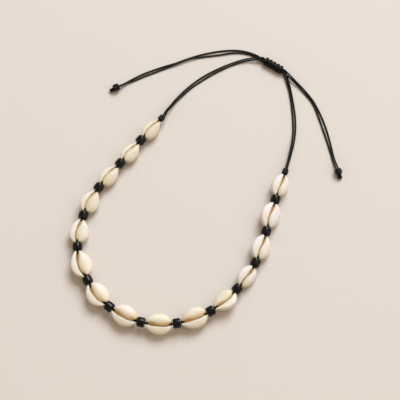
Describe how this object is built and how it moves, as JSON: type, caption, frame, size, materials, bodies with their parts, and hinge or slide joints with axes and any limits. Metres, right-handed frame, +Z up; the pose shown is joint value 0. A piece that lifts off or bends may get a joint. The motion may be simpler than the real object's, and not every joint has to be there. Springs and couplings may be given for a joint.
{
  "type": "cowrie shell necklace",
  "caption": "Adjustable cowrie shell necklace: whole shells strung slit side up with short black beads between them, on black waxed cord with a sliding knot and knotted ends",
  "frame": {"origin": "middle of the footprint of the shells, beads and knots, on the surface that the necklace lies on", "axes": "+Z up, +Y towards the sliding knot, +X to the right seen from above with the sliding knot at the top"},
  "size_m": [0.171, 0.2173, 0.0096],
  "materials": {
    "shell": "glossy ivory shell, tan beside the slit",
    "bead": "glossy black",
    "cord": "black waxed cotton cord"
  },
  "bodies": {
    "root": {"shell_01": "shell", "shell_02": "shell", "shell_03": "shell", "shell_04": "shell", "shell_05": "shell", "shell_06": "shell", "shell_07": "shell", "shell_08": "shell", "shell_09": "shell", "shell_10": "shell", "shell_11": "shell", "shell_12": "shell", "shell_13": "shell", "shell_14": "shell", "shell_15": "shell", "bead_01": "bead", "bead_02": "bead", "bead_03": "bead", "bead_04": "bead", "bead_05": "bead", "bead_06": "bead", "bead_07": "bead", "bead_08": "bead", "bead_09": "bead", "bead_10": "bead", "bead_11": "bead", "bead_12": "bead", "bead_13": "bead", "bead_14": "bead", "thread": "cord", "stop_knot_left": "cord", "stop_knot_right": "cord", "sliding_knot": "cord", "cord_left_a": "cord", "cord_left_b": "cord", "cord_right_a": "cord", "cord_right_b": "cord", "end_knot_left": "cord", "end_knot_right": "cord"}
  },
  "joints": []
}
